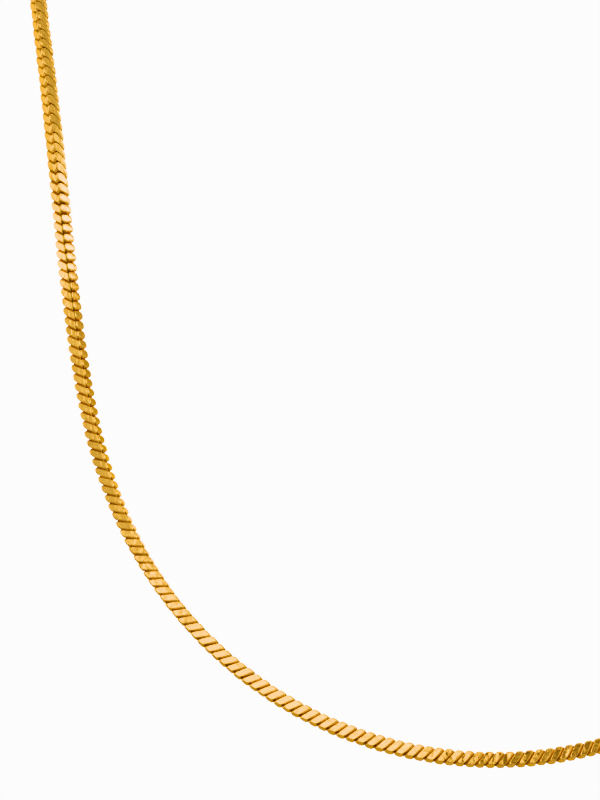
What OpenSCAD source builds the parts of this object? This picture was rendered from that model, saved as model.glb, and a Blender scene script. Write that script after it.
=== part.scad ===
// Worn neck chain of square section, closed by a plain clasp at the nape.
// Millimetres, +Z up. The origin is the middle of the nape, on the inner side
// of the loop, where it bears on the back of the neck. The front hangs towards
// -Y and down, and the chain keeps the form it has when it is worn.

/* [Chain] */
// Width across the flat faces of the square chain
chain_w = 2.0; // [1.6:0.1:2.4]
// Cut along each long corner of the chain
corner_cut = 0.35; // [0.2:0.05:0.5]
// Number of sections along the chain
chain_sections = 80; // [50:1:80]

/* [End caps] */
// Wall of the sleeve that holds a chain end
cap_wall = 0.3; // [0.25:0.05:0.4]
// Length of the sleeve
cap_len = 5.0; // [4.5:0.1:6.0]
// Depth of the pocket that the chain end sits in
cap_pocket = 3.2; // [2.5:0.1:3.5]
// Gap between the chain end and its pocket, each side
cap_gap = 0.08; // [0.05:0.01:0.15]
// Thickness of the pierced tab on the sleeve
tab_t = 0.8; // [0.6:0.05:1.0]
// Radius of the hole in the tab
tab_hole_r = 0.6; // [0.5:0.05:0.7]

/* [Jump rings] */
// Radius of the wire of each jump ring
ring_wire_r = 0.33; // [0.25:0.01:0.38]
// Radius of each jump ring to the middle of its wire
ring_r = 1.9; // [1.85:0.05:1.95]

/* [Clasp] */
// Thickness of the clasp
clasp_t = 1.4; // [1.2:0.1:1.5]
// Outer radius of the clasp's loop
loop_r = 2.6; // [2.3:0.1:2.8]
// Width of the bar around the clasp's loop
loop_bar = 0.95; // [0.7:0.05:1.1]

/* [Hidden] */
$fn = 48;

// ---- the route of the chain ------------------------------------------------
// Rows along the left half of the loop, from the lowest point of the front to
// the middle of the nape. They steer one smooth curve, as x, y, z, and the way
// the chain's outer face looks: its turn about Z from the front, in degrees,
// and its tilt upwards.
X = 0; Y = 1; Z = 2; TURN = 3; TILT = 4;
half_route = [
    [  0.0, -91.5, -146.0,    0, 14],
    [-18.0, -90.0, -143.0,   -3, 14],
    [-33.5, -86.0, -135.0,   -6, 14],
    [-46.0, -80.0, -122.5,  -10, 13],
    [-54.0, -73.5, -106.5,  -20, 11],
    [-57.5, -68.5,  -87.5,  -36,  8],
    [-59.5, -64.5,  -68.5,  -58,  5],
    [-61.5, -60.5,  -50.0,  -69,  3],
    [-64.0, -54.5,  -33.0,  -78,  3],
    [-63.5, -43.5,  -19.5,  -89,  6],
    [-57.0, -29.0,  -10.5, -107,  8],
    [-43.5, -14.0,   -4.5, -129,  6],
    [-23.5,  -2.0,   -1.0, -154,  4],
    [  0.0,   2.0,    0.0, -180,  3]];
n_half = len(half_route);

// The other half is the same, mirrored, and two rows carry on past the nape.
function other_side(r) = [-r[X], r[Y], r[Z], -r[TURN], r[TILT]];
function past_nape(r) = [-r[X], r[Y], r[Z], -360 - r[TURN], r[TILT]];
left_rows = [for (i = [0 : n_half + 1])
    i < n_half ? half_route[i] : past_nape(half_route[2 * n_half - 2 - i])];
rows = [for (i = [n_half + 1 : -1 : 1]) left_rows[i],
        left_rows[0],
        for (i = [1 : n_half + 1]) other_side(left_rows[i])];
middle = n_half + 1;   // index of the lowest point of the front

// Place along the curve: 0 at the front, negative on the left side.
function blend(f) = [pow(1 - f, 3), 3 * pow(f, 3) - 6 * f * f + 4,
                     -3 * pow(f, 3) + 3 * f * f + 3 * f + 1, pow(f, 3)] / 6;
function slope(f) = [-3 * pow(1 - f, 2), 9 * f * f - 12 * f,
                     -9 * f * f + 6 * f + 3, 3 * f * f] / 6;
function four(i) = [rows[i - 1], rows[i], rows[i + 1], rows[i + 2]];
function mix4(w, r) = w[0] * r[0] + w[1] * r[1] + w[2] * r[2] + w[3] * r[3];
function unit(v) = v / norm(v);
function xyz(r) = [r[X], r[Y], r[Z]];
function facing(r) = [sin(r[TURN]) * cos(r[TILT]),
                      -cos(r[TURN]) * cos(r[TILT]), sin(r[TILT])];

// Frame of the chain at u: its centre, then the way it runs, the inner side
// and the outer face.
function frame_of(p, t, n0) =
    let (n = unit(n0 - (n0 * t) * t)) [p, t, cross(n, t), n];
function frame(u) =
    let (v = u + middle, i = floor(v), f = v - i,
         p = mix4(blend(f), four(i)), d = mix4(slope(f), four(i)))
    frame_of(xyz(p), unit(xyz(d)), facing(p));
P = 0; T = 1; B = 2; N = 3;

end_u = 12.548;         // where the chain ends, short of the nape at 13
cap_u = 12.48;          // halfway down the caps' pockets

// ---- the chain -------------------------------------------------------------
// Square section with its long corners cut, in the frame's B and N.
h = chain_w / 2;
c = h - corner_cut;
section = [[h, -c], [h, c], [c, h], [-c, h], [-h, c], [-h, -c], [-c, -h], [c, -h]];

module swept_chain(u0, u1, n) {
    sides = len(section);
    frames = [for (k = [0 : n - 1]) frame(u0 + (u1 - u0) * k / (n - 1))];
    points = [for (f = frames) for (s = section) f[P] + s[0] * f[B] + s[1] * f[N]];
    walls = [for (k = [0 : n - 2]) for (s = [0 : sides - 1])
        let (a = k * sides + s, b = k * sides + (s + 1) % sides)
        each [[a, b + sides, b], [a, a + sides, b + sides]]];
    first = [for (s = [0 : sides - 1]) s];
    last = [for (s = [sides - 1 : -1 : 0]) (n - 1) * sides + s];
    polyhedron(points, concat(walls, [first, last]));
}

module chain() {
    color([0.86, 0.66, 0.27]) swept_chain(-end_u, end_u, chain_sections);
}

// ---- placing a piece on a chain end ----------------------------------------
// A cap runs with the chain's last stretch, between its last two sections, and
// takes its roll from the chain halfway down the pocket.
function cap_frame(side) =
    let (end = frame(side * end_u)[P],
         before = frame(side * end_u * (1 - 2 / (chain_sections - 1)))[P])
    frame_of(end, side * unit(end - before), frame(side * cap_u)[N]);

// Turns +X to run out of the chain end, +Z to the inner side, +Y outwards.
module on_end(side) {
    f = cap_frame(side);
    out = side * f[T];
    azimuth = atan2(out[1], out[0]);
    rise = asin(out[2]);
    // the inner side, seen after those two turns, gives the roll
    level = cross([cos(azimuth), sin(azimuth), 0], [0, 0, 1]);
    up0 = cross(level, out);
    roll = atan2(cross(up0, f[B]) * out, up0 * f[B]);
    translate(f[P]) rotate([0, 0, azimuth]) rotate([0, -rise, 0])
        rotate([roll, 0, 0]) children();
}
function tab_hole(side) =
    let (f = cap_frame(side)) f[P] + side * f[T] * hole_x;

sleeve_w = chain_w + 2 * cap_gap + 2 * cap_wall;
sleeve_x = cap_len - cap_pocket;         // solid end of the sleeve, past the chain end
tab_r = tab_hole_r + 0.42;
hole_x = cap_gap + sleeve_x + 1.15;

module end_cap(side) {
    on_end(side) difference() {
        union() {
            translate([cap_gap - cap_pocket, -sleeve_w / 2, -sleeve_w / 2])
                cube([cap_len, sleeve_w, sleeve_w]);
            translate([cap_gap + sleeve_x - 0.5, -tab_t / 2, -tab_r])
                cube([hole_x - cap_gap - sleeve_x + 0.5, tab_t, 2 * tab_r]);
            translate([hole_x, tab_t / 2, 0]) rotate([90, 0, 0])
                cylinder(r = tab_r, h = tab_t);
        }
        translate([cap_gap - cap_pocket - 1, -h - cap_gap, -h - cap_gap])
            cube([cap_pocket + 1, 2 * h + 2 * cap_gap, 2 * h + 2 * cap_gap]);
        translate([hole_x, tab_t, 0]) rotate([90, 0, 0])
            cylinder(r = tab_hole_r, h = 2 * tab_t);
    }
}
module end_cap_left() { color([0.88, 0.69, 0.30]) end_cap(-1); }
module end_cap_right() { color([0.88, 0.69, 0.30]) end_cap(1); }

// ---- clasp and jump rings --------------------------------------------------
// The clasp lies flat against the nape, along X, as one plain piece: an eye at
// its left end, and a loop closed by its own nose at the right.
nape = frame(13)[P];
clasp_at = nape + [0.4, 0, 0];
eye_r = 1.25;
eye_hole_r = 0.65;
eye_x = -4.5;
loop_a = -0.1;          // centres of the loop's two round ends
loop_b = 3.1;
nose_r = loop_r - 0.6;
ring_at_nose = loop_b + nose_r - loop_bar - ring_wire_r - 0.12;

module clasp_outline(r1, r2) {
    hull() {
        translate([loop_a, 0]) circle(r = r1, $fn = 40);
        translate([loop_b, 0]) circle(r = r2, $fn = 40);
    }
}
module clasp() {
    color([0.84, 0.64, 0.28])
    translate(clasp_at) rotate([90, 0, 0]) translate([0, 0, -clasp_t / 2])
    difference() {
        union() {
            linear_extrude(clasp_t) clasp_outline(loop_r, nose_r);
            translate([eye_x, 0, clasp_t * 0.15])
                cylinder(r = eye_r, h = clasp_t * 0.7);
            translate([eye_x + 0.8, -1.0, clasp_t * 0.15])
                cube([2.4, 2.0, clasp_t * 0.7]);
        }
        translate([0, 0, -1]) linear_extrude(clasp_t + 2)
            clasp_outline(loop_r - loop_bar, nose_r - loop_bar);
        translate([eye_x, 0, -1]) cylinder(r = eye_hole_r, h = clasp_t + 2);
    }
}

// A ring lies level, through the hole in the tab and the clasp.
module jump_ring(from, to) {
    d = to - from;
    translate((from + to) / 2)
        rotate([0, -asin(d[2] / norm(d)), atan2(d[1], d[0])])
        rotate_extrude() translate([ring_r, 0]) circle(r = ring_wire_r, $fn = 24);
}
module jump_ring_left() {
    color([0.87, 0.67, 0.29]) jump_ring(tab_hole(-1), clasp_at + [eye_x, 0, 0]);
}
module jump_ring_right() {
    color([0.87, 0.67, 0.29]) jump_ring(clasp_at + [ring_at_nose, 0, 0], tab_hole(1));
}

chain();
end_cap_left();
end_cap_right();
jump_ring_left();
jump_ring_right();
clasp();
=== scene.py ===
import math

import bmesh
import bpy
import numpy as np
from mathutils import Matrix, Vector


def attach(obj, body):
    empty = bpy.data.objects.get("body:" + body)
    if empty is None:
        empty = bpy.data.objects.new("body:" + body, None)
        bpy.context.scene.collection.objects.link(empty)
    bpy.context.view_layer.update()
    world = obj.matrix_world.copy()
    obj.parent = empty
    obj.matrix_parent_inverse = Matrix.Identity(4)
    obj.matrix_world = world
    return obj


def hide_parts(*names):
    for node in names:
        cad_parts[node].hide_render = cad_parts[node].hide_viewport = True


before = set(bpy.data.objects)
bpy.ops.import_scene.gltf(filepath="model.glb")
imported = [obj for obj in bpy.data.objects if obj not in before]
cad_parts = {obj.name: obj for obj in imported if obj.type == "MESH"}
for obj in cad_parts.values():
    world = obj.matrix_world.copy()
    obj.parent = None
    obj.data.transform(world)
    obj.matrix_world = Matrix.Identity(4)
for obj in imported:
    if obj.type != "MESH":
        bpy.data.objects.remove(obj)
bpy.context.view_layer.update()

scene = bpy.context.scene
MM = 0.001
rng = np.random.default_rng(20261)

# ---------------------------------------------------------------------------
# Camera: level, in front of the worn chain, at the viewing angle of the photo.
# ---------------------------------------------------------------------------
cam_data = bpy.data.cameras.new("camera")
cam_data.lens = 366.3
cam_data.sensor_width = 36.0
cam_data.clip_start = 0.05
cam_data.clip_end = 60.0
cam = bpy.data.objects.new("camera", cam_data)
cam.location = (-0.026351, -1.191, -0.096351)
cam.rotation_euler = (math.radians(90), 0, 0)
scene.collection.objects.link(cam)
scene.camera = cam

scene.view_settings.view_transform = "Khronos PBR Neutral"
scene.view_settings.look = "None"

# ---------------------------------------------------------------------------
# Route of the chain: the rows of the part's own source, in millimetres, from
# the lowest point of the front to the nape: x, y, z, turn, tilt.
# ---------------------------------------------------------------------------
HALF = [
    (0.0, -91.5, -146.0, 0, 14),
    (-18.0, -90.0, -143.0, -3, 14),
    (-33.5, -86.0, -135.0, -6, 14),
    (-46.0, -80.0, -122.5, -10, 13),
    (-54.0, -73.5, -106.5, -20, 11),
    (-57.5, -68.5, -87.5, -36, 8),
    (-59.5, -64.5, -68.5, -58, 5),
    (-61.5, -60.5, -50.0, -69, 3),
    (-64.0, -54.5, -33.0, -78, 3),
    (-63.5, -43.5, -19.5, -89, 6),
    (-57.0, -29.0, -10.5, -107, 8),
    (-43.5, -14.0, -4.5, -129, 6),
    (-23.5, -2.0, -1.0, -154, 4),
    (0.0, 2.0, 0.0, -180, 3),
]
END_U = 12.548
CHAIN_W = 2.0
PITCH = 1.37


def all_rows():
    n = len(HALF)
    past = lambda r: (-r[0], r[1], r[2], -360 - r[3], r[4])
    other = lambda r: (-r[0], r[1], r[2], -r[3], r[4])
    left = list(HALF) + [past(HALF[n - 2]), past(HALF[n - 3])]
    return np.array(
        [left[i] for i in range(n + 1, 0, -1)]
        + [left[0]]
        + [other(left[i]) for i in range(1, n + 2)],
        float,
    )


ROWS = all_rows()
MIDDLE = len(HALF) + 1


def unit(v):
    return v / np.linalg.norm(v, axis=-1, keepdims=True)


def frames_at(u):
    """Centre, way it runs, inner side and outer face of the chain at u, in mm."""
    v = np.asarray(u, float) + MIDDLE
    i = np.floor(v).astype(int)
    f = v - i
    w = np.stack([(1 - f) ** 3, 3 * f**3 - 6 * f**2 + 4, -3 * f**3 + 3 * f**2 + 3 * f + 1, f**3], -1) / 6
    g = np.stack([-3 * (1 - f) ** 2, 9 * f**2 - 12 * f, -9 * f**2 + 6 * f + 3, 3 * f**2], -1) / 6
    four = np.stack([ROWS[i - 1], ROWS[i], ROWS[i + 1], ROWS[i + 2]], -2)
    p = (w[..., None] * four).sum(-2)
    d = (g[..., None] * four).sum(-2)
    turn, tilt = np.radians(p[..., 3]), np.radians(p[..., 4])
    face = np.stack([np.sin(turn) * np.cos(tilt), -np.cos(turn) * np.cos(tilt), np.sin(tilt)], -1)
    t = unit(d[..., :3])
    nrm = unit(face - (face * t).sum(-1, keepdims=True) * t)
    return p[..., :3], t, np.cross(nrm, t), nrm


U_FINE = np.linspace(-END_U, END_U, 6001)
P_FINE = frames_at(U_FINE)[0]
S_FINE = np.concatenate([[0], np.cumsum(np.linalg.norm(np.diff(P_FINE, axis=0), axis=1))])
S_FINE -= np.interp(0.0, U_FINE, S_FINE)  # 0 at the middle of the front


def frames_at_s(s):
    return frames_at(np.interp(s, S_FINE, U_FINE))


SECTIONS = 80
CAP_U = 12.48
LAST_U = END_U * (1 - 2 / (SECTIONS - 1))    # the solid chain runs straight from here to its end


def last_stretch(side):
    """Start and end of the chain's straight last stretch."""
    return tuple(frames_at(np.array([side * u]))[0][0] for u in (LAST_U, END_U))


def chain_frames(s):
    """Frames for the links: on the curve, and on the straight last stretches as the solid chain is."""
    p, t, b, nn = frames_at_s(s)
    for side in (-1, 1):
        start, end = last_stretch(side)
        s0, s1 = np.interp([side * LAST_U, side * END_U], U_FINE, S_FINE)
        w = np.clip((s - s0) / (s1 - s0), 0, 1)
        over = np.clip(np.abs(s - s0) / 3.5, 0, 1) * (w > 0)
        over = (over * over * (3 - 2 * over))[:, None]
        p = p * (1 - over) + (start + (end - start) * w[:, None]) * over
        t = unit(t * (1 - over) + side * unit(end - start) * over)
    nn = unit(nn - (nn * t).sum(-1, keepdims=True) * t)
    return p, t, np.cross(nn, t), nn


# ---------------------------------------------------------------------------
# Materials
# ---------------------------------------------------------------------------
GOLD_LOW = (0.82, 0.46, 0.085)
GOLD_HIGH = (0.88, 0.515, 0.11)
GRAZING = (0.95, 0.66, 0.26, 1.0)   # gold stays gold when it is seen edge-on


def new_material(name):
    m = bpy.data.materials.new(name)
    m.use_nodes = True
    return m, m.node_tree.nodes, m.node_tree.links, m.node_tree.nodes["Principled BSDF"]


def add(nodes, kind, **values):
    n = nodes.new(kind)
    for k, v in values.items():
        setattr(n, k, v)
    return n


def ramp(nodes, stops):
    n = nodes.new("ShaderNodeValToRGB")
    e = n.color_ramp.elements
    while len(e) > 1:
        e.remove(e[-1])
    e[0].position, e[0].color = stops[0][0], (*stops[0][1], 1)
    for pos, col in stops[1:]:
        x = e.new(pos)
        x.color = (*col, 1)
    return n


def map_range(nodes, links, src, a, b, c, d):
    n = nodes.new("ShaderNodeMapRange")
    n.inputs["From Min"].default_value = a
    n.inputs["From Max"].default_value = b
    n.inputs["To Min"].default_value = c
    n.inputs["To Max"].default_value = d
    links.new(src, n.inputs["Value"])
    return n.outputs["Result"]


def noise(nodes, links, vec, scale, detail=3.0, rough=0.5):
    n = nodes.new("ShaderNodeTexNoise")
    n.inputs["Scale"].default_value = scale
    n.inputs["Detail"].default_value = detail
    n.inputs["Roughness"].default_value = rough
    links.new(vec, n.inputs["Vector"])
    return n.outputs["Fac"]


def chain_gold():
    m, nodes, links, bsdf = new_material("chain_gold")
    # place in the chain itself: along it, to the inner side, outwards, in mm
    coords = add(nodes, "ShaderNodeAttribute", attribute_name="strip").outputs["Vector"]
    recess = add(nodes, "ShaderNodeAttribute", attribute_name="recess").outputs["Fac"]
    tone = add(nodes, "ShaderNodeAttribute", attribute_name="tone").outputs["Fac"]
    drawn = add(nodes, "ShaderNodeMapping", vector_type="POINT")
    drawn.inputs["Scale"].default_value = (0.30, 1.0, 1.0)
    links.new(coords, drawn.inputs["Vector"])

    # colour: a warm gold, patchy, each link a little different, darkened by painted shade in the gaps and grooves
    patch = noise(nodes, links, coords, 0.9, 3, 0.6)
    gold = ramp(nodes, [(0.3, GOLD_LOW), (0.7, GOLD_HIGH)])
    links.new(patch, gold.inputs["Fac"])
    shade = ramp(nodes, [(0.0, (0.90, 0.88, 0.84)), (1.0, (1.0, 1.0, 1.0))])
    links.new(tone, shade.inputs["Fac"])
    # painted shade: the recess value darkens the gold on groove edges, in gaps and at corners
    recess_shade = ramp(nodes, [(0.0, (1, 1, 1)), (0.12, (0.96, 0.95, 0.92)), (0.36, (0.76, 0.72, 0.60)), (0.8, (0.98, 1.02, 1.0)), (1.0, (0.30, 0.27, 0.15))])
    links.new(recess, recess_shade.inputs["Fac"])
    # small pits that hold dirt
    spots = noise(nodes, links, drawn.outputs[0], 4.6, 2, 0.55)
    pits = map_range(nodes, links, spots, 0.66, 0.74, 0.0, 1.0)
    dirt = ramp(nodes, [(0.0, (1, 1, 1)), (1.0, (0.50, 0.42, 0.26))])
    links.new(pits, dirt.inputs["Fac"])
    colour = gold.outputs["Color"]
    for other in (shade, recess_shade, dirt):
        mul = add(nodes, "ShaderNodeMix", data_type="RGBA", blend_type="MULTIPLY")
        mul.inputs["Factor"].default_value = 1.0
        links.new(colour, mul.inputs["A"])
        links.new(other.outputs["Color"], mul.inputs["B"])
        colour = mul.outputs["Result"]
    links.new(colour, bsdf.inputs["Base Color"])

    # finish: polished cuts with fine rubbing, duller in the recesses and pits
    fine = noise(nodes, links, drawn.outputs[0], 3.4, 4, 0.65)
    rough = map_range(nodes, links, fine, 0.3, 0.7, 0.11, 0.24)
    for src_, to in ((recess, 0.34), (pits, 0.12)):
        more = map_range(nodes, links, src_, 0.0, 1.0, 0.0, to)
        total = add(nodes, "ShaderNodeMath", operation="ADD", use_clamp=True)
        links.new(rough, total.inputs[0])
        links.new(more, total.inputs[1])
        rough = total.outputs[0]
    links.new(rough, bsdf.inputs["Roughness"])
    bsdf.inputs["Metallic"].default_value = 1.0
    bsdf.inputs["Specular Tint"].default_value = GRAZING

    # relief: the faces are not dead flat, and are drawn along the chain
    split = nodes.new("ShaderNodeSeparateXYZ")
    links.new(coords, split.inputs[0])
    # beside the neck the faces are smoother
    calm = map_range(nodes, links, split.outputs["X"], -119.0, -109.0, 0.25, 1.0)
    heights = []
    for rough_height in (noise(nodes, links, coords, 0.8, 1.6, 0.45),
                         noise(nodes, links, drawn.outputs[0], 2.6, 2.5, 0.55),
                         noise(nodes, links, coords, 4.2, 2, 0.5)):
        part = add(nodes, "ShaderNodeMath", operation="MULTIPLY")
        links.new(rough_height, part.inputs[0])
        links.new(calm, part.inputs[1])
        heights.append(part.outputs[0])
    wavy, streak, grain = heights
    across = add(nodes, "ShaderNodeMath", operation="MULTIPLY_ADD")
    across.inputs[1].default_value = 0.5
    across.inputs[2].default_value = 0.5
    links.new(split.outputs["Y"], across.inputs[0])
    crease = ramp(nodes, [(0.0, (0, 0, 0)), (0.52, (0, 0, 0)), (0.60, (1, 1, 1)), (0.63, (0, 0, 0)), (1.0, (0, 0, 0))])
    links.new(across.outputs[0], crease.inputs["Fac"])
    parts = [crease.outputs["Color"], map_range(nodes, links, split.outputs["Z"], 0.93, 0.98, 0.0, 1.0),
             map_range(nodes, links, split.outputs["X"], -115.0, -103.0, 0.0, 1.0),
             map_range(nodes, links, split.outputs["X"], -70.0, -82.0, 0.0, 1.0),
             map_range(nodes, links, spots, 0.42, 0.52, 0.0, 1.0)]
    worn = parts[0]
    for other in parts[1:]:
        mul = add(nodes, "ShaderNodeMath", operation="MULTIPLY")
        links.new(worn, mul.inputs[0])
        links.new(other, mul.inputs[1])
        worn = mul.outputs[0]
    bumps = None
    for height, dist, strength in ((wavy, 0.00010, 1.0), (worn, 0.000018, 1.0), (grain, 0.000008, 0.8),
                                   (streak, 0.000010, 0.8), (pits, -0.000008, 0.5)):
        bump = nodes.new("ShaderNodeBump")
        bump.invert = dist < 0
        bump.inputs["Strength"].default_value = strength
        bump.inputs["Distance"].default_value = abs(dist)
        links.new(height, bump.inputs["Height"])
        if bumps is not None:
            links.new(bumps, bump.inputs["Normal"])
        bumps = bump.outputs["Normal"]
    links.new(bumps, bsdf.inputs["Normal"])
    return m


def findings_gold():
    m, nodes, links, bsdf = new_material("findings_gold")
    coords = nodes.new("ShaderNodeTexCoord").outputs["Object"]
    patch = noise(nodes, links, coords, 600, 3, 0.6)
    gold = ramp(nodes, [(0.3, (0.82, 0.46, 0.08)), (0.7, (0.88, 0.52, 0.11))])
    links.new(patch, gold.inputs["Fac"])
    links.new(gold.outputs["Color"], bsdf.inputs["Base Color"])
    fine = noise(nodes, links, coords, 2200, 4, 0.65)
    links.new(map_range(nodes, links, fine, 0.3, 0.7, 0.12, 0.26), bsdf.inputs["Roughness"])
    bsdf.inputs["Metallic"].default_value = 1.0
    bsdf.inputs["Specular Tint"].default_value = GRAZING
    wavy = noise(nodes, links, coords, 700, 2, 0.5)
    b1 = nodes.new("ShaderNodeBump")
    b1.inputs["Strength"].default_value = 0.6
    b1.inputs["Distance"].default_value = 0.00003
    links.new(wavy, b1.inputs["Height"])
    links.new(b1.outputs["Normal"], bsdf.inputs["Normal"])
    return m


MAT_CHAIN = chain_gold()
MAT_FIND = findings_gold()

# ---------------------------------------------------------------------------
# One link: a closed ring of flat-cut wire whose plane slants across the chain,
# so it shows as a slanted bar on every side. Local axes: t along the chain, b
# to the inner side, n to the outer face, in mm. Along the ring, p counts the
# sides: 0 to 1 the outer face, 1 to 2 the inner side, 2 to 3 the back, 3 to 4
# the lower side.
# ---------------------------------------------------------------------------
ALPHA = 0.65   # how far the ring leans along the chain across the outer face
H = CHAIN_W / 2


def climb(x, steep, shallow, turn_at=0.50, over=0.70):
    """How far a bar has gone along the chain at x mm across the inner side."""
    w = (x - turn_at) / over
    if w <= 0:
        more = 0.0
    elif w < 1:
        more = over * (w ** 3 - w ** 4 / 2)
    else:
        more = over * (w - 0.5)
    return steep * x + (shallow - steep) * more


def lean(b, n, slant):
    half = climb(2.0, *slant) / 2
    inner = climb(1 - n, *slant) - half
    lower = -(climb(1 + n, *slant) - half)
    return ALPHA * b + inner * (1 + b) / 2 + lower * (1 - b) / 2


# The bar's section along the ring, as offsets along the chain and depths under
# the chain's flat sides: the flat cut runs from "l" to "r", the rounded edges
# end at "le" and "re", "lh" and "rh" deep, the wire's two sides go on down to
# 0.66 either way, "ld" and "rd" deep, and "dip" sinks the bar, to pinch it at a
# corner. This is for the outer face and the inner side. The back and the lower
# side are the same the other way round.
OUTER = [
    # p     l      r      le     re     lh    rh    ld    rd    dip
    (0.06, -0.20, 0.16, -0.54, 0.54, 0.27, 0.29, 0.40, 0.42, 0.00),
    (0.12, -0.32, 0.26, -0.55, 0.55, 0.16, 0.19, 0.26, 0.29, 0.00),
    (0.20, -0.44, 0.33, -0.56, 0.55, 0.07, 0.11, 0.14, 0.17, 0.00),
    (0.32, -0.48, 0.35, -0.55, 0.55, 0.05, 0.09, 0.11, 0.14, 0.00),
    (0.68, -0.48, 0.34, -0.55, 0.55, 0.05, 0.09, 0.11, 0.14, 0.00),
    (0.88, -0.46, 0.31, -0.56, 0.55, 0.07, 0.10, 0.13, 0.16, 0.00),
    (0.94, -0.40, 0.27, -0.56, 0.55, 0.09, 0.11, 0.16, 0.19, 0.01),
    (1.00, -0.32, 0.14, -0.55, 0.44, 0.12, 0.13, 0.22, 0.26, 0.07),
    (1.06, -0.31, -0.04, -0.54, 0.22, 0.13, 0.13, 0.25, 0.30, 0.03),
    (1.12, -0.35, 0.02, -0.56, 0.26, 0.12, 0.13, 0.25, 0.30, 0.00),
]
# Along the front the inner side's bars are upright beads, and beside the neck
# they lie flatter and more slanted.
UPRIGHT = OUTER[:-3] + [
    (1.00, -0.32, 0.18, -0.55, 0.46, 0.12, 0.13, 0.22, 0.26, 0.06),
    (1.06, -0.30, 0.06, -0.53, 0.32, 0.13, 0.13, 0.25, 0.30, 0.03),
    (1.12, -0.31, 0.08, -0.54, 0.33, 0.13, 0.13, 0.25, 0.30, 0.00),
    (1.22, -0.37, 0.18, -0.57, 0.44, 0.13, 0.13, 0.27, 0.28, 0.00),
    (1.36, -0.38, 0.31, -0.58, 0.56, 0.15, 0.15, 0.29, 0.29, 0.00),
    (1.56, -0.33, 0.35, -0.58, 0.60, 0.20, 0.20, 0.33, 0.33, 0.00),
    (1.76, -0.24, 0.25, -0.56, 0.58, 0.26, 0.26, 0.39, 0.39, 0.00),
    (1.90, -0.15, 0.15, -0.56, 0.56, 0.33, 0.33, 0.45, 0.45, 0.00),
    (2.00, -0.10, 0.10, -0.54, 0.54, 0.36, 0.36, 0.47, 0.47, 0.00),
]
FLATTER = [row[:5] + tuple(0.55 * d for d in row[5:9]) + (0.4 * row[9],) for row in OUTER] + [
    (1.22, -0.50, 0.32, -0.62, 0.49, 0.08, 0.09, 0.19, 0.19, 0.00),
    (1.36, -0.56, 0.50, -0.635, 0.61, 0.07, 0.08, 0.17, 0.17, 0.00),
    (1.56, -0.58, 0.56, -0.635, 0.63, 0.07, 0.07, 0.17, 0.17, 0.00),
    (1.76, -0.53, 0.51, -0.635, 0.63, 0.08, 0.09, 0.19, 0.19, 0.00),
    (1.90, -0.38, 0.37, -0.63, 0.63, 0.13, 0.13, 0.22, 0.22, 0.00),
    (2.00, -0.20, 0.20, -0.61, 0.61, 0.21, 0.21, 0.33, 0.33, 0.00),
]
# Round corners of the ring: outer-lower, outer-inner, inner-back, back-lower.
CORNER = [0.24, 0.24, 0.22, 0.22]
BETWEEN = [
    [0.16, 0.22, 0.32, 0.50, 0.68, 0.80],
    [0.17, 0.22, 0.28, 0.36, 0.46, 0.56, 0.66, 0.76, 0.84],
    [0.18, 0.32, 0.50, 0.68, 0.82],
    [0.18, 0.28, 0.38, 0.50, 0.62, 0.74, 0.84],
]


def ring_stations():
    """Places along the ring's outer edge: p, b and n."""
    out = []
    ends = [(-1, 1), (1, 1), (1, -1), (-1, -1)]
    for side in range(4):
        (b0, n0), (b1, n1) = ends[side], ends[(side + 1) % 4]
        ra, rb = CORNER[side] / 2, CORNER[(side + 1) % 4] / 2
        for w in [ra] + BETWEEN[side] + [1 - rb]:
            out.append((side + w, b0 + (b1 - b0) * w, n0 + (n1 - n0) * w))
        # the corner that ends this side
        r = CORNER[(side + 1) % 4]
        (b2, n2) = ends[(side + 2) % 4]
        db, dn = (b1 - b0) / 2, (n1 - n0) / 2     # along this side
        eb, en = (b2 - b1) / 2, (n2 - n1) / 2     # along the next one
        cb, cn = b1 - db * r + eb * r, n1 - dn * r + en * r
        for k in (1, 2, 3):
            a = math.pi / 2 * k / 4
            out.append((side + 1 + (k - 2) / 4 * r,
                        cb + r * (db * math.sin(a) - eb * math.cos(a)),
                        cn + r * (dn * math.sin(a) - en * math.cos(a))))
    return out


def step_back(p):
    """How far a bar is set back along the chain past the outer-inner corner, as a share; the other corner the other way."""
    q = p % 2
    if q < 0.93:
        share = 0.0
    elif q < 1.13:
        w = (q - 0.93) / 0.20
        share = w * w * (3 - 2 * w)
    elif q < 1.55:
        share = 1.0
    else:
        w = (2.0 - q) / 0.45
        share = w * w * (3 - 2 * w)
    return -share if p % 4 < 2 else share


# Stretches of the ring whose cut is shaded dead flat: the outer face and the
# back along the front, the inner and the lower side beside the neck.
FLAT_OUTER = ((0.12, 0.88), (2.11, 2.89))
FLAT_INNER = ((1.27, 1.77), (3.27, 3.75))


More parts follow.
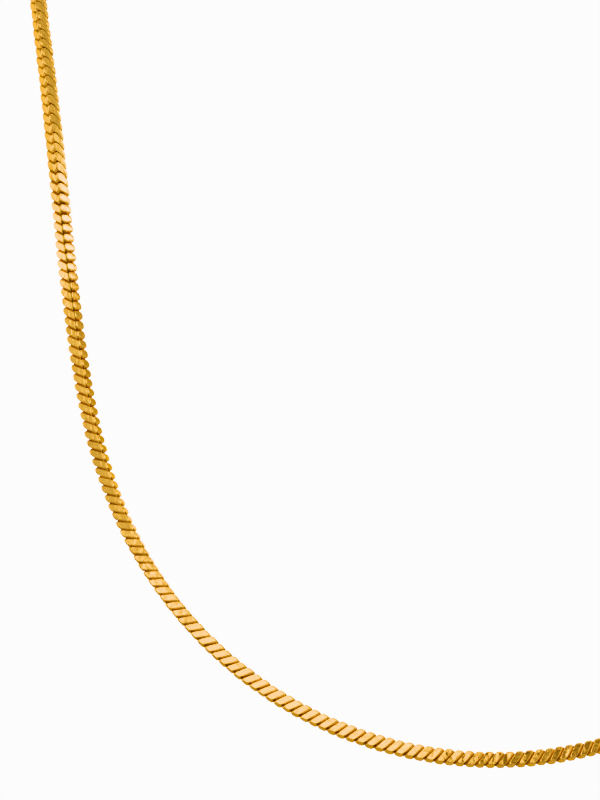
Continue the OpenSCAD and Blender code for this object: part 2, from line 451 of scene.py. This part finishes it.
def make_link(bar, slant, pinch, level_at):
    last = bar[-1]
    table = np.array([(0.0, -last[2], -last[1], -last[4], -last[3], last[6], last[5], last[8], last[7], last[9])] + bar)
    stations = ring_stations()
    verts, recess, back, rim, corner_shade, across, section = [], [], [], [], [], [], None
    for p, b, n in stations:
        l, r, le, re, lh, rh, ld, rd, dip = [np.interp(p % 2, table[:, 0], table[:, k]) for k in range(1, 10)]
        if p % 4 > 2:
            l, r, le, re, lh, rh, ld, rd = -r, -l, -re, -le, rh, lh, rd, ld
        edge = max(abs(b), abs(n))
        pts = [(l, 0.0, 0.0), ((l + r) / 2, 0.0, 0.0), (r, 0.0, 0.0)]   # offset, depth, recess
        # the third number of each point is how much painted shade it gets, growing from the flat cut down into the
        # groove
        for deg, rec in ((32, 0.02), (62, 0.14), (90, 0.36)):
            a = math.radians(deg)
            pts.append((r + (re - r) * math.sin(a), rh * (1 - math.cos(a)), rec))
        pts += [(0.66, rd, 0.7), (0.61, 0.54, 0.8), (0.20, 0.62, 0.8), (-0.20, 0.62, 0.8), (-0.61, 0.54, 0.8),
                (-0.66, ld, 0.7)]
        for deg, rec in ((90, 0.30), (62, 0.08), (32, 0.0)):
            a = math.radians(deg)
            pts.append((l + (le - l) * math.sin(a), lh * (1 - math.cos(a)), rec))
        section = len(pts)
        # painted shade: a dark triangle right of the pinch at a corner, and a dark line along it
        pinch_shade = pinch * min(1.0, 1.5 * max(0.0, 1 - abs(p % 2 - 1.13) / 0.24))
        right = (5, 4, 6) if p % 4 < 2 else (12, 13, 11)
        for k, most in zip(right, (1.0, 0.55, 1.0)):
            tau, d, rec = pts[k]
            pts[k] = (tau, d, rec + (most - rec) * pinch_shade)
        # painted shade in the grooves between the flatter bars of the inner side
        if pinch < 1 and abs(p % 2 - 1.56) < 0.34:
            for k, most in ((4, 0.86), (5, 0.90), (6, 0.90), (7, 0.90), (10, 0.90), (11, 0.90), (12, 0.90), (13, 0.86)):
                pts[k] = (pts[k][0], pts[k][1], most)
        # painted shade along the outer-inner corner
        line = 0.3 * pinch * max(0.0, 1 - abs(p % 2 - 1.02) / 0.07)
        for tau, d, rec in pts:
            d = d + dip * max(0.0, 1 - d / 0.3)
            k = 1 - d / edge
            verts.append((tau + lean(b, n, slant), b * k, n * k))
            recess.append(min(1.0, max(rec, line)))
            back.append(step_back(p))
            across.append(b)
            # masks for painted shade along the lower edge and along the outer-inner corner
            rim.append(max(0.0, 1 - abs((p + 2) % 4 - 2.03) / 0.11))
            corner_shade.append(min(1.0, 1.5 * max(0.0, 1 - abs(p % 2 - 1.03) / 0.09)))
    m = len(stations)
    faces, flat = [], []
    for i in range(m):
        p = stations[i][0]
        nxt = (i + 1) % m
        p1 = stations[nxt][0] if nxt else stations[nxt][0] + 4
        level = any(lo - 0.001 <= p and p1 <= hi + 0.001 for lo, hi in level_at)
        for j in range(section):
            j1 = (j + 1) % section
            faces.append([i * section + j, nxt * section + j, nxt * section + j1, i * section + j1])
            flat.append(j < 2 and level)
    co = np.array(verts)
    # the faces point outwards when the ring's volume counts as positive
    tri = np.array([t for f in faces for t in ((f[0], f[1], f[2]), (f[0], f[2], f[3]))])
    vol = np.einsum("ij,ij->i", co[tri[:, 0]], np.cross(co[tri[:, 1]], co[tri[:, 2]])).sum() / 6
    if vol < 0:
        faces = [f[::-1] for f in faces]
    print("link:", len(co), "verts", len(faces) * 2, "tris", "volume mm3", round(abs(vol), 3))
    return co, faces, np.array(flat), np.array(recess), np.array(back), np.array(rim), np.array(corner_shade), np.array(across)


def joined_mesh(name, parts_co, faces, flat, attrs):
    """Many copies of one small mesh, each already placed, as one mesh."""
    count, nv = parts_co.shape[0], parts_co.shape[1]
    sizes = np.array([len(f) for f in faces], np.int32)
    loops = np.concatenate([np.array(f, np.int32) for f in faces])
    me = bpy.data.meshes.new(name)
    me.vertices.add(count * nv)
    me.vertices.foreach_set("co", parts_co.reshape(-1).astype(np.float32))
    me.loops.add(count * len(loops))
    me.loops.foreach_set("vertex_index", (loops[None, :] + (np.arange(count) * nv)[:, None]).astype(np.int32).ravel())
    starts = np.concatenate([[0], np.cumsum(sizes)[:-1]])
    me.polygons.add(count * len(sizes))
    me.polygons.foreach_set("loop_start", (starts[None, :] + (np.arange(count) * len(loops))[:, None]).astype(np.int32).ravel())
    me.update(calc_edges=True)
    me.polygons.foreach_set("use_smooth", ~flat.ravel())
    for key, values in attrs.items():
        at = me.attributes.new(key, "FLOAT", "POINT")
        at.data.foreach_set("value", values.astype(np.float32).ravel())
    me.update()
    me.validate()
    ob = bpy.data.objects.new(name, me)
    scene.collection.objects.link(ob)
    return ob


def build_chain():
    co, faces, flat, recess, back, rim, corner_shade, across = make_link(UPRIGHT, (-0.10, -0.08), 1.0, FLAT_OUTER)
    co_neck, _, flat_neck, recess_neck = make_link(FLATTER, (0.02, 0.90), 0.3, FLAT_INNER)[:4]
    length = S_FINE[-1] - S_FINE[0]
    room = 1.95
    lo, hi = S_FINE[0] + room, S_FINE[-1] - room
    n = int((hi - lo) / PITCH)
    first = -PITCH * (n // 2)
    s = first + PITCH * np.arange(n + 1)
    s = s[(s >= lo) & (s <= hi)]
    p, t, b, nn = chain_frames(s)
    n = len(s)
    print("links:", n, "chain length", round(length, 2))
    # small play of each link in the chain
    ang = rng.normal(0, 1, (n, 3)) * np.radians([0.9, 0.9, 1.1])
    off = rng.normal(0, 1, (n, 3)) * np.array([0.015, 0.006, 0.006])
    neck = np.clip((np.abs(s) - 110.0) / 7.0, 0, 1)[:, None, None]
    local = co[None] * (1 - neck) + co_neck[None] * neck
    local[:, :, 0] += back[None] * np.interp(np.abs(s), [80, 100, 112, 124], [0.0, 0.20, 0.28, 0.38])[:, None]
    # beside the neck the outer bars stand a little more upright
    local[:, :, 0] -= across[None] * np.interp(np.abs(s), [84, 106], [0.0, 0.08])[:, None]
    recess = recess[None] * (1 - neck[:, :, 0]) + recess_neck[None] * neck[:, :, 0]
    # painted shade along the corner between the two rows where the chain leaves the neck
    recess = np.maximum(recess, 0.97 * corner_shade[None] * np.interp(np.abs(s), [82, 94, 110, 117], [0.0, 1, 1, 0.0])[:, None])
    # painted shade, and a rougher finish, along the lower edge of the lowest links
    recess = np.maximum(recess, 0.42 * rim[None] * np.interp(np.abs(s), [45, 75], [1, 0])[:, None])
    local = local + np.cross(ang[:, None, :], local) + off[:, None, :]
    placed = (p[:, None] + local[..., 0:1] * t[:, None] + local[..., 1:2] * b[:, None]
              + local[..., 2:3] * nn[:, None]) * MM
    tone = rng.uniform(0, 1, n)
    parts = np.array_split(np.arange(n), 4)
    names = ["chain_links_a", "chain_links_b", "chain_links_c", "chain_links_d"]
    made = []
    strip = np.stack([s[:, None] + local[..., 0], local[..., 1], local[..., 2]], -1)
    for name, idx in zip(names, parts):
        level = np.where(neck[idx, 0] > 0.5, flat_neck[None], flat[None])
        ob = joined_mesh(name, placed[idx], faces, level, {
            "recess": recess[idx],
            "tone": np.repeat(tone[idx], len(co)),
        })
        at = ob.data.attributes.new("strip", "FLOAT_VECTOR", "POINT")
        at.data.foreach_set("vector", strip[idx].astype(np.float32).ravel())
        ob.data.materials.append(MAT_CHAIN)
        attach(ob, "root")
        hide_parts("chain")
        made.append(ob)
    return made


def build_core():
    """A slim core through all the links, dark in the gaps like the wire behind."""
    k = 420
    s = np.linspace(S_FINE[0] + 1.9, S_FINE[-1] - 1.9, k)
    p, t, b, nn = chain_frames(s)
    r, c = 0.36, 0.24
    outline = np.array([(r, -c), (r, c), (c, r), (-c, r), (-r, c), (-r, -c), (-c, -r), (c, -r)])
    co = (p[:, None] + outline[None, :, 0:1] * b[:, None] + outline[None, :, 1:2] * nn[:, None]) * MM
    faces = [[i * 8 + j, i * 8 + (j + 1) % 8, (i + 1) * 8 + (j + 1) % 8, (i + 1) * 8 + j] for i in range(k - 1) for j in range(8)]
    faces += [list(range(7, -1, -1)), [(k - 1) * 8 + j for j in range(8)]]
    me = bpy.data.meshes.new("chain_core")
    me.from_pydata(co.reshape(-1, 3).tolist(), [], faces)
    for key, value in (("recess", 0.8), ("tone", 0.5)):
        me.attributes.new(key, "FLOAT", "POINT").data.foreach_set("value", [value] * (k * 8))
    strip = np.concatenate([np.repeat(s, 8)[:, None], np.tile(outline, (k, 1))], 1)
    me.attributes.new("strip", "FLOAT_VECTOR", "POINT").data.foreach_set("vector", strip.astype(np.float32).ravel())
    bm = bmesh.new()
    bm.from_mesh(me)
    bmesh.ops.recalc_face_normals(bm, faces=bm.faces)
    bm.to_mesh(me)
    bm.free()
    ob = bpy.data.objects.new("chain_core", me)
    scene.collection.objects.link(ob)
    me.materials.append(MAT_CHAIN)
    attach(ob, "root")
    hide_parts("chain")
    return ob


LINKS = build_chain()
CORE = build_core()

# ---------------------------------------------------------------------------
# Findings: end caps, jump rings and the clasp, to the part's own sizes in mm,
# with rounded edges.
# ---------------------------------------------------------------------------
CAP_GAP, CAP_LEN, CAP_POCKET, CAP_WALL = 0.08, 5.0, 3.2, 0.3
TAB_T, TAB_HOLE_R = 0.8, 0.6
TAB_R = TAB_HOLE_R + 0.42
SLEEVE_END = CAP_GAP + CAP_LEN - CAP_POCKET
HOLE_X = SLEEVE_END + 1.15
RING_R, RING_WIRE_R = 1.9, 0.33
CLASP_T, LOOP_R, LOOP_BAR = 1.4, 2.6, 0.95
LOOP_A, LOOP_B, NOSE_R = -0.1, 3.1, LOOP_R - 0.6
EYE_X, EYE_R, EYE_HOLE_R = -4.5, 1.25, 0.65
RING_AT_NOSE = LOOP_B + NOSE_R - LOOP_BAR - RING_WIRE_R - 0.12


def skin(rings, closed):
    """Vertices and faces of a skin over rings of points, closed on itself or with an end at each side."""
    k, m = len(rings), len(rings[0])
    verts = [tuple(v) for ring in rings for v in ring]
    faces = [[i * m + j, (i + 1) % k * m + j, (i + 1) % k * m + (j + 1) % m, i * m + (j + 1) % m]
             for i in range(k if closed else k - 1) for j in range(m)]
    if not closed:
        for i in (0, k - 1):
            mid = len(verts)
            verts.append(tuple(np.mean(rings[i], axis=0)))
            faces += [[i * m + j, i * m + (j + 1) % m, mid] for j in range(m)]
    return verts, faces


def squarish(half_a, half_b, power, count):
    """A rounded rectangle as a superellipse, as pairs of offsets."""
    out = []
    for i in range(count):
        a = 2 * math.pi * (i + 0.5) / count
        c, s = math.cos(a), math.sin(a)
        out.append((half_a * math.copysign(abs(c) ** (2 / power), c), half_b * math.copysign(abs(s) ** (2 / power), s)))
    return out


def finding(name, node, shells, matrix):
    """One piece from closed shells of points in mm, placed by the matrix."""
    bm = bmesh.new()
    for verts, faces in shells:
        made = [bm.verts.new(matrix @ Vector(v) * MM) for v in verts]
        for f in faces:
            bm.faces.new([made[i] for i in f]).smooth = True
    bmesh.ops.recalc_face_normals(bm, faces=bm.faces)
    me = bpy.data.meshes.new(name)
    bm.to_mesh(me)
    bm.free()
    me.set_sharp_from_angle(angle=math.radians(40))
    ob = bpy.data.objects.new(name, me)
    scene.collection.objects.link(ob)
    me.materials.append(MAT_FIND)
    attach(ob, "root")
    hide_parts(node)
    return ob


def sleeve():
    """A square sleeve with soft corners: its pocket, a rim, a slightly slimmer body and a closed end."""
    inner, outer = 1.0 + CAP_GAP, 1.0 + CAP_GAP + CAP_WALL
    x0, x1 = CAP_GAP - CAP_POCKET, SLEEVE_END
    body = outer - 0.07
    profile = [(CAP_GAP, 0.25), (CAP_GAP, inner - 0.02), (CAP_GAP - 0.02, inner), (x0 + 0.10, inner), (x0 + 0.03, inner + 0.03),
               (x0, inner + 0.10), (x0, outer - 0.12), (x0 + 0.04, outer - 0.04), (x0 + 0.12, outer), (x0 + 0.62, outer),
               (x0 + 0.70, outer - 0.03), (x0 + 0.73, body), (x1 - 0.73, body), (x1 - 0.70, outer - 0.03), (x1 - 0.62, outer),
               (x1 - 0.16, outer), (x1 - 0.05, outer - 0.05), (x1, outer - 0.16), (x1, 0.4)]
    rings = []
    for x, half in profile:
        corner = 0.12 if half <= inner else 0.22
        ring = []
        for q in range(4):
            for a in (0, 22.5, 45, 67.5, 90):
                a = math.radians(a + 90 * q)
                cy = (half - corner) * (1 if q in (0, 3) else -1)
                cz = (half - corner) * (1 if q in (0, 1) else -1)
                ring.append((x, cy + corner * math.cos(a), cz + corner * math.sin(a)))
        rings.append(ring)
    return skin(rings, False)


def tab():
    """The pierced tab: a flat bar bent round its hole, its far end inside the sleeve."""
    rings = []
    k = 64
    for i in range(k):
        a = 2 * math.pi * i / k
        c, s = math.cos(a), math.sin(a)
        far = TAB_R
        if c < 0:
            far = min(TAB_R / max(1e-6, abs(s)), (HOLE_X - SLEEVE_END + 0.5) / abs(c))
        mid, half = (far + TAB_HOLE_R) / 2, (far - TAB_HOLE_R) / 2
        rings.append([(HOLE_X + (mid + da) * c, db, (mid + da) * s) for da, db in squarish(half, TAB_T / 2, 3.6, 20)])
    return skin(rings, True)


def on_end(side):
    start, end = last_stretch(side)
    t = side * unit(end - start)
    nn = frames_at(np.array([side * CAP_U]))[3][0]
    nn = unit(nn - (nn @ t) * t)
    m = Matrix.Identity(4)
    for col, v in enumerate((side * t, -side * nn, np.cross(nn, t), end)):
        for row in range(3):
            m[row][col] = v[row]
    return m


def loop_of_clasp():
    """The clasp's loop, with the fine lines and the slimmer bar of a lever that stays shut."""
    k = 180
    d = LOOP_B - LOOP_A
    tilt = math.asin((LOOP_R - NOSE_R) / d)      # how the two straight sides lean in
    rings = []
    turn = math.pi / 2 - tilt
    arc_b = 2 * turn * (NOSE_R - LOOP_BAR / 2)
    arc_a = (2 * math.pi - 2 * turn) * (LOOP_R - LOOP_BAR / 2)
    straight = d * math.cos(tilt)
    whole = arc_a + arc_b + 2 * straight
    for i in range(k):
        s = whole * i / k
        if s < arc_b:
            a, cx, r, along = -turn + 2 * turn * s / arc_b, LOOP_B, NOSE_R, None
        elif s < arc_b + straight:
            w = (s - arc_b) / straight
            a, cx, r = turn, LOOP_B + (LOOP_A - LOOP_B) * w, NOSE_R + (LOOP_R - NOSE_R) * w
        elif s < arc_b + straight + arc_a:
            a, cx, r = turn + (2 * math.pi - 2 * turn) * (s - arc_b - straight) / arc_a, LOOP_A, LOOP_R
        else:
            w = (s - arc_b - straight - arc_a) / straight
            a, cx, r = -turn, LOOP_A + (LOOP_B - LOOP_A) * w, LOOP_R + (NOSE_R - LOOP_R) * w
        # the lever: from the nose, along the upper side, to its pivot
        nose, pivot = arc_b * 0.72, arc_b + straight + arc_a * 0.24
        half_t = CLASP_T / 2
        half_w = LOOP_BAR / 2
        if nose < s < pivot:
            half_t *= 0.86
            half_w *= 0.92
        for line in (nose, pivot):
            if abs(s - line) < 0.07:
                half_t -= 0.10
                half_w -= 0.07
        c, sn = math.cos(a), math.sin(a)
        mid = r - LOOP_BAR / 2
        rings.append([(cx + (mid + da) * c, db, (mid + da) * sn) for da, db in squarish(half_w, half_t, 3.0, 24)])
    return skin(rings, True)


def eye_of_clasp():
    k = 64
    mid, half = (EYE_R + EYE_HOLE_R) / 2, (EYE_R - EYE_HOLE_R) / 2
    rings = []
    for i in range(k):
        a = 2 * math.pi * i / k
        rings.append([(EYE_X + (mid + da) * math.cos(a), db, (mid + da) * math.sin(a))
                      for da, db in squarish(half, CLASP_T * 0.35, 3.0, 20)])
    return skin(rings, True)


def neck_of_clasp():
    rings = []
    for x, half_z, half_y in ((-3.62, 0.62, 0.34), (-3.56, 0.80, 0.42), (-3.35, 0.86, 0.45), (-3.1, 0.84, 0.45), (-2.85, 0.86, 0.46),
                              (-2.6, 0.96, 0.48), (-2.35, 1.0, 0.49), (-2.1, 0.95, 0.47), (-2.0, 0.8, 0.38)):
        rings.append([(x, db, da) for da, db in squarish(half_z, half_y, 3.2, 28)])
    return skin(rings, False)


def jump_ring(name, start, end):
    d = end - start
    n = float(np.linalg.norm(d))
    turn = Matrix.Rotation(math.atan2(d[1], d[0]), 4, "Z") @ Matrix.Rotation(-math.asin(d[2] / n), 4, "Y")
    m = Matrix.Translation(Vector((start + end) / 2)) @ turn
    rings = []
    k = 97
    for i in range(k):
        # one fine slit where the wire's ends meet
        a = math.radians(90.9 + 358.2 * i / (k - 1))
        wire = RING_WIRE_R - (0.03 if i in (0, k - 1) else 0)
        rings.append([((RING_R + wire * math.cos(q)) * math.cos(a), (RING_R + wire * math.cos(q)) * math.sin(a), wire * math.sin(q))
                      for q in (2 * math.pi * j / 24 for j in range(24))])
    return finding(name, name.replace("_round", ""), [skin(rings, False)], m)


CLASP_AT = frames_at(np.array([13.0]))[0][0] + np.array([0.4, 0, 0])
FINDINGS = []
HOLES = {}
for side, word in ((-1, "left"), (1, "right")):
    place = on_end(side)
    FINDINGS.append(finding("end_cap_round_" + word, "end_cap_" + word, [sleeve(), tab()], place))
    HOLES[word] = np.array(place @ Vector((HOLE_X, 0, 0)))
FINDINGS.append(finding("clasp_round", "clasp", [loop_of_clasp(), eye_of_clasp(), neck_of_clasp()],
                        Matrix.Translation(Vector(CLASP_AT))))
FINDINGS.append(jump_ring("jump_ring_left_round", HOLES["left"], CLASP_AT + np.array([EYE_X, 0, 0])))
FINDINGS.append(jump_ring("jump_ring_right_round", CLASP_AT + np.array([RING_AT_NOSE, 0, 0]), HOLES["right"]))

# ---------------------------------------------------------------------------
# Stage: a pale floor that curves up far behind, soft boxes, and even daylight.
# ---------------------------------------------------------------------------
TARGET = Vector((-0.02, -0.08, -0.09))


def toward(az, el):
    """Direction from the chain: azimuth 0 is the camera's side, 90 the right."""
    a, e = math.radians(az), math.radians(el)
    return Vector((math.sin(a) * math.cos(e), -math.cos(a) * math.cos(e), math.sin(e)))


def smooth(x, lo, hi):
    x = min(1.0, max(0.0, (x - lo) / (hi - lo)))
    return x * x * (3 - 2 * x)


def stage_bowl():
    """Floor and backdrop in one; its own glow is strongest behind the chain."""
    bm = bmesh.new()
    prof = [(r, 0.0) for r in (0.3, 0.7, 1.0, 1.2, 1.4, 1.6, 1.8, 2.0, 2.3, 2.6, 3.0, 3.6, 4.5)]
    prof += [(4.5 + 1.6 * math.sin(a), 1.6 - 1.6 * math.cos(a)) for a in np.linspace(0.1, 1.45, 16)]
    seg = 144
    rings = []
    for r, z in prof:
        rings.append([bm.verts.new((r * math.cos(2 * math.pi * i / seg), r * math.sin(2 * math.pi * i / seg), z - 0.26))
                      for i in range(seg)])
    mid = bm.verts.new((0, 0, -0.26))
    for i in range(seg):
        bm.faces.new([mid, rings[0][i], rings[0][(i + 1) % seg]])
    for a, b in zip(rings[:-1], rings[1:]):
        for i in range(seg):
            bm.faces.new([a[i], b[i], b[(i + 1) % seg], a[(i + 1) % seg]])
    bmesh.ops.recalc_face_normals(bm, faces=bm.faces)
    me = bpy.data.meshes.new("studio_floor")
    bm.to_mesh(me)
    bm.free()
    glow = []
    for v in me.vertices:
        d = Vector(v.co) - TARGET
        r = math.hypot(v.co.x, v.co.y)
        az = math.degrees(math.atan2(d.x, -d.y)) % 360
        el = math.degrees(math.asin(d.z / d.length))
        behind = (1 - smooth(abs(az - 180), 24, 36)) * (1 - smooth(el, 8, 12)) * smooth(r, 1.2, 2.0)
        glow.append(0.28 * smooth(r, 1.2, 3.5) + GLOW * behind)
    me.attributes.new("glow", "FLOAT", "POINT").data.foreach_set("value", glow)
    for f in me.polygons:
        f.use_smooth = True
    ob = bpy.data.objects.new("studio_floor", me)
    scene.collection.objects.link(ob)
    m, nodes, links, bsdf = new_material("studio_white")
    r = noise(nodes, links, nodes.new("ShaderNodeTexCoord").outputs["Object"], 0.4, 1)
    paper = ramp(nodes, [(0.3, (FLOOR, FLOOR, FLOOR)), (0.7, (FLOOR * 1.02, FLOOR * 1.02, FLOOR * 1.02))])
    links.new(r, paper.inputs["Fac"])
    links.new(paper.outputs["Color"], bsdf.inputs["Base Color"])
    bsdf.inputs["Roughness"].default_value = 0.9
    bsdf.inputs["Emission Color"].default_value = (1, 1, 1, 1)
    at = add(nodes, "ShaderNodeAttribute", attribute_name="glow")
    links.new(at.outputs["Fac"], bsdf.inputs["Emission Strength"])
    me.materials.append(m)
    return ob


GLOW = 2.2
FLOOR = 0.55
stage_bowl()


def soft_box(name, az, el, half_w, half_h, radiance, dist=1.7, colour=(1, 1, 1)):
    """A soft box seen from the chain at that azimuth and elevation, its half sizes in degrees."""
    d = toward(az, el)
    width, height = (2 * dist * math.tan(math.radians(x)) for x in (half_w, half_h))
    data = bpy.data.lights.new(name, "AREA")
    data.shape = "RECTANGLE"
    data.size, data.size_y = width, height
    data.energy = radiance * math.pi * width * height
    data.color = colour
    ob = bpy.data.objects.new(name, data)
    ob.location = TARGET + d * dist
    ob.rotation_euler = (-d).to_track_quat("-Z", "Y").to_euler()
    ob.visible_camera = False
    scene.collection.objects.link(ob)
    return ob


soft_box("key_box", -15, 28, 13.5, 9, 4.2)
soft_box("front_right_box", 29, 32, 8, 4, 3.4)
soft_box("right_box", 80.5, 22, 11.5, 10, 9.0)
soft_box("high_right_box", 64, 46, 8, 4, 1.6)
soft_box("high_rear_box", 140, 63, 20, 7, 3.0)
soft_box("left_box", -101, 5, 12.5, 7, 4.2, dist=1.9)
soft_box("front_left_box", -70, 11, 14, 12, 0.17)
soft_box("rear_left_box", -134, 3, 14, 7, 1.0, dist=1.9)

DAY = 0.87
# Daylight all round, dimmer in three places: beside the key box, so that the
# lowest links show dark patches, and where the inner side looks.
world = bpy.data.worlds.new("daylight")
scene.world = world
world.use_nodes = True
wn, wl = world.node_tree.nodes, world.node_tree.links
bg = wn["Background"]
light = None
for az, el, outer, inner, colour in ((7, 28, 13, 7, (0.20, 0.12, 0.06)), (44, 39, 22, 11, (0.78, 0.76, 0.73)),
                                     (124, 15, 26, 12, (0.70, 0.66, 0.62))):
    dot = add(wn, "ShaderNodeVectorMath", operation="DOT_PRODUCT")
    wl.new(wn.new("ShaderNodeTexCoord").outputs["Generated"], dot.inputs[0])
    dot.inputs[1].default_value = toward(az, el)
    dim = map_range(wn, wl, dot.outputs["Value"], math.cos(math.radians(outer)), math.cos(math.radians(inner)), 0.0, 1.0)
    sky = ramp(wn, [(0.0, (1.0, 1.0, 1.0) if light else (DAY, DAY, DAY)), (1.0, tuple(c * (1.0 if light else DAY) for c in colour))])
    wl.new(dim, sky.inputs["Fac"])
    if light:
        mul = add(wn, "ShaderNodeMix", data_type="RGBA", blend_type="MULTIPLY")
        mul.inputs["Factor"].default_value = 1.0
        wl.new(light, mul.inputs["A"])
        wl.new(sky.outputs["Color"], mul.inputs["B"])
        light = mul.outputs["Result"]
    else:
        light = sky.outputs["Color"]
wl.new(light, bg.inputs["Color"])
